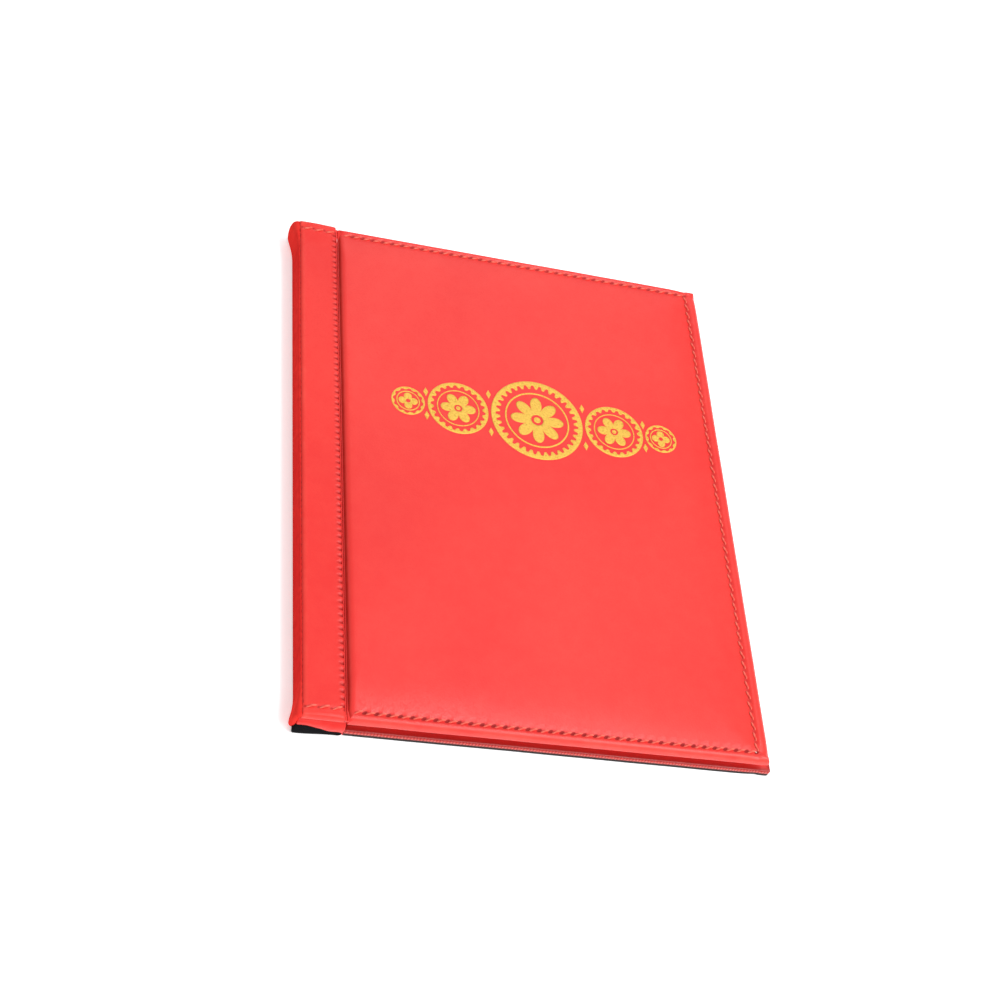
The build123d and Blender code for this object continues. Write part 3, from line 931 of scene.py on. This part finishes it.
# The spine: half a rounded box in section, from the front crease round to the back one. It swells at
# head and foot and has slanted wrinkles that die out towards the middle.
def spineSkin():
    front, back = spineHigh[2] / mm - 0.45, spineLow[2] / mm + 0.3
    middle, half = (front + back) / 2, (front - back) / 2
    depth = creaseX - spineLow[0] / mm - strip["slim"]
    s = rimmed(1.0, 0.035, 0.045)
    v = rimmed(2 * halfHeight, 0.7, 0.9) - halfHeight
    angle, y = np.meshgrid((0.42 + 1.16 * s) * np.pi, v, indexing="ij")
    swell = endSwell(y)
    thick = strip["spineThick"] + 1.2 * smoothStep(halfHeight - 6, halfHeight - 1, np.abs(y))
    slant = np.sin(tau * (y + 5.5 * (angle - np.pi)) / 6.1 + 2 * np.sin(y / 11))
    wrinkle = 0.07 * slant * (0.35 + 0.65 * smoothStep(40, 92, np.abs(y))) * np.sin(angle - np.pi / 2) ** 2
    bulge = np.where(y > 0, strip["bulge"]["head"], strip["bulge"]["foot"])
    reach = depth + bulge * swell + wrinkle - thick / 2
    across, upward = -np.cos(angle), np.sin(angle)
    power = 2 / strip["square"]
    x = creaseX - reach * np.sign(across) * np.abs(across) ** power
    tall = half - thick / 2 + 0.45 * swell * (upward > 0)
    z = middle + tall * np.sign(upward) * np.abs(upward) ** power
    hollow = strip["hollow"] * smoothStep(5.0, 0.8, z) * smoothStep(halfHeight - 7, halfHeight, np.abs(y))
    mid = np.stack([x, y + np.sign(y) * (0.35 * swell - hollow), z], -1) * mm
    fade = rimFade(s, 1.0, 0.045)[:, None] * rimFade(v + halfHeight, 2 * halfHeight, 0.9)[None, :]
    thick = fade * thick
    # Painted light: the spine is painted paler towards head and foot.
    marks = {"wearAndHighlight": smoothStep(84, 97, np.abs(y)) + 0 * x}
    return settle(thickSheet("spineSkin", mid, thick * mm, marks=marks), "binding", "red_leatherette",
                  "spine_skin", finish=spineFinish)


# Black cloth over the back strip's board inside. It wraps round its ends and fills the spine's hollow,
# where it is partly real lining and partly a black sheet standing in for the shade inside the hollow.
def backStripLining():
    x0, y0, z0, z1 = creaseX + 0.1, halfHeight + 0.5, 0.02, boxOf("back_strip_lining")[1][2] / mm
    width = stripEdgeX + 0.8 - x0
    u, v = rimmed(width, 0.9, 0.7), rimmed(2 * y0, 1.6, 0.7)
    x, y = np.meshgrid(x0 + u, v - y0, indexing="ij")
    x = x - 1.3 * (1 - u / width)[:, None] * smoothStep(95, 99, np.abs(y))
    deep = z1 - z0 + 2.0 * archShare(x) * smoothStep(95.2, 97.0, np.abs(y))
    y = y + np.sign(y) * 0.55 * archShare(x) * smoothStep(90, 99, np.abs(y))
    mid = np.stack([x, y, z0 + deep / 2], -1) * mm
    thick = rimFade(u, width, 0.7)[:, None] * rimFade(v, 2 * y0, 0.7)[None, :] * deep * mm
    settle(thickSheet("backStripLining", mid, thick), "binding", "black_lining", "back_strip_lining")


# How open the hollow at the ends of the binding is: 1 beside the spine, 0 at the groove.
def archShare(x):
    return smoothStep(stripEdgeX - 1.5, creaseX + 1.5, x)


# Leather turned in over both ends of the binding. In section it runs from under the strip's rounded end
# down to a rim that rises towards the spine. Two sines make a groove below the strip and a bead above
# the rim.
def bindingEnds():
    x0, x1 = creaseX - 0.5, stripEdgeX + 1.25
    u, v = rimmed(x1 - x0, 0.5, 0.3), rimmed(1.0, 0.05, 0.09)
    x, t = np.meshgrid(x0 + u, v, indexing="ij")
    top, bottom = stripHigh[2] / mm - 1.4, 1.8 + 2.9 * archShare(x)
    z = top + (bottom - top) * t
    groove = 1.15 * np.sin(np.pi * np.clip(t / 0.62, 0, 1)) ** 2
    bead = 0.35 * np.sin(np.pi * np.clip((t - 0.5) / 0.5, 0, 1))
    y = halfHeight - 0.25 - groove + bead + 0.10 * softWaves(x, z * 2, 5.0, 91)
    fade = rimFade(u, x1 - x0, 0.3)[:, None] * rimFade(v, 1.0, 0.09)[None, :]
    for label, side in (("foot", -1), ("head", 1)):
        mid = np.stack([x, side * y, z], -1) * mm
        if side > 0:
            mid = mid[::-1]
        settle(thickSheet("bindingEnd." + label, mid, fade * 0.8 * mm), "binding", "red_leatherette",
               finish=stripFinish)


spineSkin()
backStripLining()
bindingEnds()
print("binding leather ready")


# stitches

# Separate stitches. Each is a tube from one hole to the next: its centre line bows up by a sine, it
# thins where it enters the leather, and its section is two plies that twist along it. Lengths are mm.
def stitchRun(name, start, end, up, radius, arch, sink=0.25):
    t = np.array([0, 0.07, 0.2, 0.38, 0.62, 0.8, 0.93, 1.0])
    angle = np.arange(8) / 8 * tau
    side = np.cross(end - start, up)
    side /= np.linalg.norm(side, axis=-1, keepdims=True)
    bow = arch * np.sin(np.pi * t) ** 0.5 - sink * (1 - np.sin(np.pi * t) ** 0.35)
    centre = start[:, None] + (end - start)[:, None] * t[:, None] + up[:, None] * bow[:, None]
    taper = radius * (0.35 + 0.65 * np.sin(np.pi * t) ** 0.4)
    lobes = 1 + 0.16 * np.cos(2 * (angle[None, :] - 5.0 * t[:, None]))
    ring = taper[:, None] * lobes
    verts = (centre[:, :, None] + side[:, None, None] * (ring * np.cos(angle))[None, :, :, None]
             + up[:, None, None] * (ring * np.sin(angle))[None, :, :, None])
    count, rows, cols = verts.shape[:3]
    one = gridQuads(rows, cols, wrapCols=True)
    offset = np.arange(count)[:, None, None] * rows * cols
    quads = (one[None] + offset).reshape(-1, 4)
    far = (rows - 1) * cols      # first point of the last ring
    ends = np.concatenate([np.arange(cols).reshape(2, 4)[:, ::-1], np.arange(cols).reshape(2, 4) + far])
    middle = np.array([[7, 4, 3, 0], [4 + far, 7 + far, far, 3 + far]])
    caps = (np.concatenate([ends, middle])[None] + offset).reshape(-1, 4)
    length = np.linalg.norm(end - start, axis=-1).mean()
    along = np.broadcast_to((t * length)[None, :, None], verts.shape[:3])
    around = np.broadcast_to(angle[None, None, :], verts.shape[:3])
    return makeMesh(name, verts.reshape(-1, 3) * mm, np.concatenate([quads, caps]),
                    marks={"along": along * 0.1, "around": around})


# Ends of the stitches of one straight run on a surface: pitch apart, a little shorter, turned by slant.
def stitchLine(first, last, pitch, height, slant, share=0.86):
    span = np.array(last, float) - np.array(first, float)
    length = np.hypot(*span)
    direction = span / length
    across = np.array([-direction[1], direction[0]])
    rng = np.random.default_rng(int(abs(first[0]) * 7 + abs(first[1]) * 3))
    count = max(1, int(round(length / pitch)))
    pitch = length / count
    centre = (np.arange(count) + 0.5)[:, None] * pitch * direction + np.array(first, float)
    centre = centre + across * rng.normal(0, 0.05, (len(centre), 1))
    turn = slant + rng.normal(0, 0.05, (len(centre), 1))
    half = share * pitch / 2 * (np.cos(turn) * direction + np.sin(turn) * across)
    start, end = centre - half, centre + half
    lift = [height(p[:, 0], p[:, 1]) for p in (start, end)]
    return [np.column_stack([p, z]) for p, z in zip((start, end), lift)]


def gather(lines):
    return [np.concatenate(side) for side in zip(*lines)]


def upFrom(points, facing):
    return np.array([0.0, 0.0, 1.0]) * np.broadcast_to(facing, len(points))[:, None]


thread = {"radius": 0.36, "arch": 0.20, "slant": 0.36, "seamRadius": 0.2}


def coverStitching(name, body, node, low, high, height, facing):
    x0, x1, y0, y1 = stitchBox(low, high)
    corners = [(x0, y0), (x1, y0), (x1, y1), (x0, y1)]
    start, end = gather([stitchLine(a, b, cover["pitch"], height, thread["slant"])
                         for a, b in zip(corners, corners[1:])])
    piece = stitchRun(name, start, end, upFrom(start, facing), thread["radius"], thread["arch"])
    settle(piece, body, "red_thread", node)


def backPanelHeight(x, y):
    return panelDrop(x, y, backLow, backHigh) - cover["rise"]


coverStitching("frontCoverStitching", "front_cover", "front_cover_stitching", frontLow, frontHigh,
               lambda x, y: panelHeight(x, y) - 0.08, 1)
coverStitching("backCoverStitching", "back_cover", "back_cover_stitching", backLow, backHigh,
               lambda x, y: backPanelHeight(x, y) + 0.08, -1)


# The same relief on the back strip, seen from below.
def flip(height):
    outside = boxOf("back_strip_skin")[0][2] / mm
    return lambda x, y: outside - np.minimum(height(x, y) - stripHigh[2] / mm, 0)


# The strip's top with the fall of its rounded edge at the groove added.
def stripEdgeHeight(x, y):
    fall = 1 - np.sqrt(1 - (1 - np.clip((stripEdgeX - x) / 0.5, 0, 1)) ** 2)
    return stripHeight(x, y) - fall * strip["thick"] / 2


def stripThreads():
    edge, y1 = stripEdgeX, halfHeight - strip["line"]
    pitch = strip["ladderPitch"]
    places = np.arange(-int(y1 / pitch), int(y1 / pitch) + 1) * pitch
    for name, node, height, facing in (
            ("frontSeamThread", "front_seam_thread", stripEdgeHeight, 1),
            ("backSeamThread", "back_seam_thread", flip(stripHeight), -1)):
        start = np.column_stack([np.full(len(places), edge - strip["ladder"]), places, 0 * places])
        end = np.column_stack([np.full(len(places), edge - 0.15), places + 0.25, 0 * places])
        start[:, 2] = height(start[:, 0], start[:, 1]) - 0.15 * facing
        end[:, 2] = height(end[:, 0], end[:, 1]) - 0.15 * facing
        piece = stitchRun(name, start, end, upFrom(start, facing), thread["seamRadius"], 0.04)
        settle(piece, "binding", "red_thread", node, finish=seamThreadFinish)
        x0, x1 = creaseX + 0.9, edge - 0.5
        start, end = gather([stitchLine(a, b, cover["pitch"], height, thread["slant"])
                             for a, b in (((x0, -y1), (x1, -y1)), ((x1, y1), (x0, y1)))])
        label = name.replace("SeamThread", "StripStitching")
        piece = stitchRun(label, start, end, upFrom(start, facing), thread["radius"], thread["arch"])
        settle(piece, "binding", "red_thread", node.replace("seam_thread", "strip_stitching"))


# Short stitches sunk in the crease, front and back.
def spineEdgeStitching():
    x, y1 = creaseX + 0.35, halfHeight - cover["line"]
    front = stitchLine((x, -y1), (x, y1), strip["ladderPitch"], stripHeight, 0.0, share=0.7)
    back = stitchLine((x, -y1), (x, y1), strip["ladderPitch"], flip(stripHeight), 0.0, share=0.7)
    start, end = gather([front, back])
    up = upFrom(start, np.where(start[:, 2] > frontLow[2] / mm - 2, 1.0, -1.0))
    settle(stitchRun("spineEdgeStitching", start, end, up, 0.16, 0.02), "binding", "red_thread",
           "spine_edge_stitching", finish=seamThreadFinish)


stripThreads()
spineEdgeStitching()
print("stitches ready")


# gilt emblem: coin roundels, each a reeded rim, a thin ring and a rosette

emblem = {
    "radii": [17.0, 11.0, 6.0],
    "petals": [8, 6, 4],
    "spacing": 1.0,
    "thick": 0.16,
    "reed": 1.55,          # reeds this far apart along the rim, mm
    "lozenge": (0.9, 1.9),
}


# A flat ring between two radii that may vary round it, domed across its width. Radius at the share s of
# the width is inner plus s times the difference.
def foilRing(cx, cy, inner, outer, count, cols=7):
    angle = np.arange(count) / count * tau
    s = np.concatenate([[0, 0.04, 0.15], np.linspace(0.3, 0.7, cols - 5), [0.85, 0.96, 1.0]])
    r = inner(angle)[:, None] + (outer(angle) - inner(angle))[:, None] * s[None, :]
    x, y = cx + r * np.cos(angle)[:, None], cy + r * np.sin(angle)[:, None]
    dome = np.sqrt(np.maximum(1 - (2 * s - 1) ** 4, 0))[None, :] * np.ones((count, 1))
    mid = np.stack([x, y, panelHeight(x, y) + 0.02], -1) * mm
    return mid, dome * emblem["thick"] * mm


# Rings of one coin: the rim's inner edge is cut into reeds by a squared sine.
def roundel(cx, cy, radius, petals):
    reeds = int(round(tau * radius / emblem["reed"] / 2))
    fine = max(120, reeds * 10)
    bars = lambda a: np.tanh(2.6 * np.sin(reeds * a)) * 0.5 + 0.5
    thin = max(0.035 * radius, 0.38)
    leaf = lambda a: radius * (0.27 + 0.31 * np.abs(np.cos(petals / 2 * a)) ** 0.7)
    still = lambda r: lambda a: r + 0 * a      # a plain circle
    rings = [foilRing(cx, cy, lambda a: radius * (0.90 - 0.095 * bars(a)), still(radius), fine),
             foilRing(cx, cy, still(0.70 * radius - thin), still(0.70 * radius), 96),
             foilRing(cx, cy, still(0.13 * radius), leaf, petals * 22)]
    if radius > 8:
        rings.append(foilRing(cx, cy, still(0.004 * radius), still(0.075 * radius), 24))
    return rings


# A small diamond: radius is one over the sum of the scaled sides, as on a square turned to its corner.
def lozenge(cx, cy, width, height):
    outer = lambda a: 1 / (np.abs(np.cos(a)) / width + np.abs(np.sin(a)) / height)
    return foilRing(cx, cy, lambda a: 0.02 * outer(a), outer, 48)


def giltEmblem():
    low, high = boxOf("front_emblem_foil")
    cx, cy = ((low + high) / 2 / mm)[:2]
    reach = emblem["radii"][0]
    sheets = roundel(cx, cy, reach, emblem["petals"][0])
    for radius, petals in zip(emblem["radii"][1:], emblem["petals"][1:]):
        offset = reach + emblem["spacing"] + radius
        for side in (-1, 1):
            sheets += roundel(cx + side * offset, cy, radius, petals)
            for level in (-1, 1):
                place = (cx + side * (reach + 0.5), cy + level * (0.62 * radius + 1.4))
                sheets.append(lozenge(*place, *emblem["lozenge"]))
        reach = offset + radius
    parts = [thickSheet(f"foil{i}", mid, thick, wrap=True) for i, (mid, thick) in enumerate(sheets)]
    settle(joined("frontEmblemFoil", parts), "front_cover", "gold_foil", "front_emblem_foil")


giltEmblem()
print("emblem ready")


# leaves: welded pockets on each backing film, and the soft guards that join them at the seam

pocket = {"gap": 1.6, "puff": 0.05, "step": 3.2, "thick": 0.09, "rim": 0.8}


# Twelve pockets of thin film: each lies a little proud in its middle and is welded flat at its sides.
def leafPockets(number):
    node = f"leaf_{number:02d}_pocket_film"
    low, high = boxOf(node)
    size = (high - low)[:2] / mm
    cellX, cellY = size[0] / film["columns"], (size[1] + 2.0) / film["rows"]
    wide, tall = cellX - 0.02, cellY - pocket["gap"] - 0.4
    u, v = rimmed(wide, pocket["step"], pocket["rim"]), rimmed(tall, pocket["step"], pocket["rim"])
    fade = rimFade(u, wide, pocket["rim"])[:, None] * rimFade(v, tall, pocket["rim"])[None, :]
    rise = np.sin(np.pi * u / wide)[:, None] * np.sin(np.pi * v / tall)[None, :] ** 0.6
    toWeld = np.minimum(np.minimum(u, wide - u)[:, None], v[None, :])
    weld = np.clip(1.4 - toWeld / film["weld"], 0, 1)
    parts = []
    for column in range(film["columns"]):
        for row in range(film["rows"]):
            mid = np.zeros((len(u), len(v), 3))
            mid[..., 0] = low[0] + (column * cellX + 0.01 + u[:, None]) * mm
            mid[..., 1] = low[1] + (row * cellY + v[None, :]) * mm
            ripple = softWaves(mid[..., 0] / mm, mid[..., 1] / mm, 60.0, 70 + number)
            mid[..., 2] = (low + high)[2] / 2 + (pocket["puff"] * rise * (0.6 + 0.2 * ripple)) * mm
            label = f"pocket{number}_{column}_{row}"
            parts.append(thickSheet(label, mid, fade * pocket["thick"] * mm, marks={"weld": weld}))
    settle(joined(f"leafPockets{number:02d}", parts), f"leaf_{number:02d}", "clear_film", node,
           finish=weldedFinish)


for index in range(leafCount):
    leafPockets(index + 1)

guard = {"thick": 0.07, "leg": 2.6, "turn": -0.25}


# A soft strip at the seam: a path in section, carried from foot to head. Given one body it is attached to
# it; given two it is left unattached, its placement baked into its mesh.
def guardSheet(name, path, bodies, start=None, end=None, slot="red_leatherette", half=None, thick=None,
               finish=None, lift=0.0):
    half = half or boxOf("leaf_margins")[1][1] / mm - 0.5
    steps = np.concatenate([[0], np.cumsum(np.hypot(*np.diff(path, axis=0).T))])
    fadeU = rimFade(steps, steps[-1], 0.12)
    v = rimmed(2 * half, 1.2 if lift else 9.0, 0.3)
    fadeV = rimFade(v, 2 * half, 0.3)
    mid = np.zeros((len(path), len(v), 3))
    mid[..., 0], mid[..., 2] = path[:, :1] * mm, path[:, 1:] * mm
    mid[..., 1] = (v - half)[None, :] * mm
    mid[..., 2] += lift * smoothStep(half - 4.5, half - 1.0, np.abs(v - half))[None, :] * mm
    piece = thickSheet(name, mid, fadeU[:, None] * fadeV[None, :] * (thick or guard["thick"]) * mm)
    if isinstance(bodies, str):
        return settle(piece, bodies, slot, finish=finish)
    piece = settle(piece, None, slot, finish=finish)
    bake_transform(piece)
    return piece


# A fold in section: along one leaf to the turn, across to the next leaf, and back out along it.
def foldPath(z0, z1, leg0, leg1):
    seam = seamX / mm
    turnX = seam + guard["turn"]
    out = np.linspace(seam + leg0, turnX, 14)
    back = np.linspace(turnX, seam + leg1, 14)
    rise = np.linspace(z0, z1, 34)[1:-1]
    bow = -0.12 * np.sin(np.pi * (rise - z0) / (z1 - z0))
    return np.concatenate([np.column_stack([out, 0 * out + z0]), np.column_stack([turnX + bow, rise]),
                           np.column_stack([back, 0 * back + z1])])


def leafTop(number):
    return boxOf(f"leaf_{number:02d}_backing_film")[1][2] / mm + 0.05


def makeGuards():
    seam, leg = seamX / mm, 1.35 + guard["leg"]
    count = leafCount
    edge = stripEdgeX
    root = leafTop(count)
    across = np.concatenate([np.linspace(edge - 1.5, edge, 4)[:-1], np.linspace(edge, seam + 1.5, 30),
                             np.linspace(seam + 1.6, seam + leg, 5)])
    flat = np.column_stack([across, np.full(len(across), root)])
    guardSheet(f"leafGuard{count:02d}", flat, ("binding", f"leaf_{count:02d}"), (edge * mm, 0, root * mm),
               ((seam + 1.5) * mm, 0, root * mm), "clear_film")
    for number in range(count, 1, -1):
        low, high = leafTop(number), leafTop(number - 1)
        guardSheet(f"leafGuard{number - 1:02d}", foldPath(low, high, leg, leg),
                   (f"leaf_{number:02d}", f"leaf_{number - 1:02d}"),
                   (seamX, 0, low * mm), (seamX, 0, high * mm), "clear_film")
    low, high = leafTop(1), frontLow[2] / mm - 0.03
    guardSheet("frontGuardCloth", foldPath(low, high, leg, 7.5), ("leaf_01", "front_cover"),
               (seamX, 0, low * mm), (seamX, 0, high * mm), "black_lining")
    z = backHigh[2] / mm + 0.03
    across = np.concatenate([np.linspace(edge - 3, edge, 5)[:-1], np.linspace(edge, seam + 0.9, 28),
                             np.linspace(seam + 1.0, seam + 7.5, 8)])
    path = np.column_stack([across, np.full(len(across), z)])
    guardSheet("backGuardCloth", path, ("binding", "back_cover"), (edge * mm, 0, z * mm),
               ((seam + 0.9) * mm, 0, z * mm), "black_lining")
    t = np.linspace(0, 1, 40)
    leatherEnd = {"half": halfHeight + 0.1, "thick": 0.6, "finish": stripFinish}
    backSkin = np.column_stack([edge - 0.7 + t * 2.6, 0.85 + 0.35 * np.sin(np.pi * t)])
    skin = guardSheet("backHingeSkin", backSkin, ("binding", "back_cover"), (edge * mm, 0, 0),
                      ((seam + 0.9) * mm, 0, 0), **leatherEnd)
    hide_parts("back_hinge_gusset")
    z = seamZ / mm - 2.3
    fixedSkin = np.column_stack([edge - 0.7 + t * 1.35, z - 0.2 * np.sin(np.pi / 2 * t)])
    skin = guardSheet("frontHingeSkin", fixedSkin, "binding", lift=0.9, **leatherEnd)
    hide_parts("front_hinge_gusset")
    lip = np.column_stack([seam + 0.3 + t * 1.4, z - 0.25 + 0.2 * t])
    guardSheet("frontHingeLip", lip, "front_cover", lift=0.9, **leatherEnd)


makeGuards()
print("leaves and guards ready")
